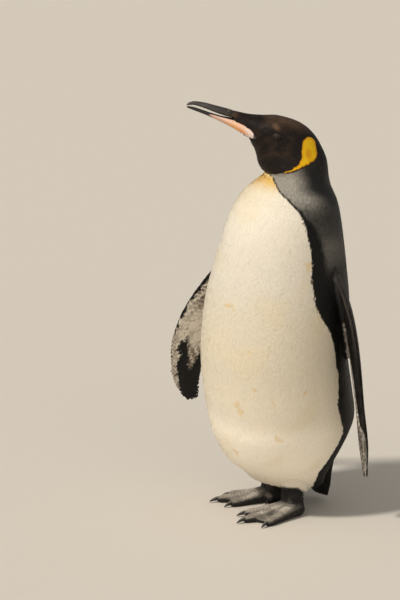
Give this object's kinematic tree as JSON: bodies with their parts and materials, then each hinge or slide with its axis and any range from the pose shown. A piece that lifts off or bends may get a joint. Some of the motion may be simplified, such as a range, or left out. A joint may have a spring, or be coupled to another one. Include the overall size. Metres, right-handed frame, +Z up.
{
  "type": "king penguin",
  "caption": "Life-size still model of an adult king penguin standing on flat feet, head turned to its right with the bill raised and slightly open.",
  "frame": {"origin": "on the floor under the middle of the bird's overall box; the soles stand at z = 0", "axes": "+Z up, the chest faces -Y, the bird's left side is +X"},
  "size_m": [0.4738, 0.2856, 0.7519],
  "materials": {
    "white_feathers": "dense short cream-white feathers, satin",
    "grey_feathers": "dense short silver-grey feathers with a soft sheen",
    "black_feathers": "dense short brown-black feathers, satin",
    "flipper_feathers": "scale-like slate-black feathers, buff below",
    "leg_feathers": "short cream and dark feathers over the ankles",
    "dark_horn": "dark bill horn, semi-matt",
    "bill_plate": "smooth salmon-pink and orange bill plate with a dark tip",
    "eyeball": "wet dark brown eye",
    "foot_skin": "dark grey scaly skin, matt",
    "claw_horn": "dark claw horn, semi-matt"
  },
  "bodies": {
    "root": {"trunk": "white_feathers", "neck": "grey_feathers", "head": "black_feathers", "bill_upper": "dark_horn", "bill_lower": "bill_plate", "eye_left": "eyeball", "eye_right": "eyeball", "flipper_left": "flipper_feathers", "flipper_right": "flipper_feathers", "leg_left": "leg_feathers", "leg_right": "leg_feathers", "foot_left": "foot_skin", "foot_right": "foot_skin", "tail": "black_feathers", "claw_left_inner": "claw_horn", "claw_left_middle": "claw_horn", "claw_left_outer": "claw_horn", "claw_left_hind": "claw_horn", "claw_right_inner": "claw_horn", "claw_right_middle": "claw_horn", "claw_right_outer": "claw_horn", "claw_right_hind": "claw_horn"}
  },
  "joints": []
}
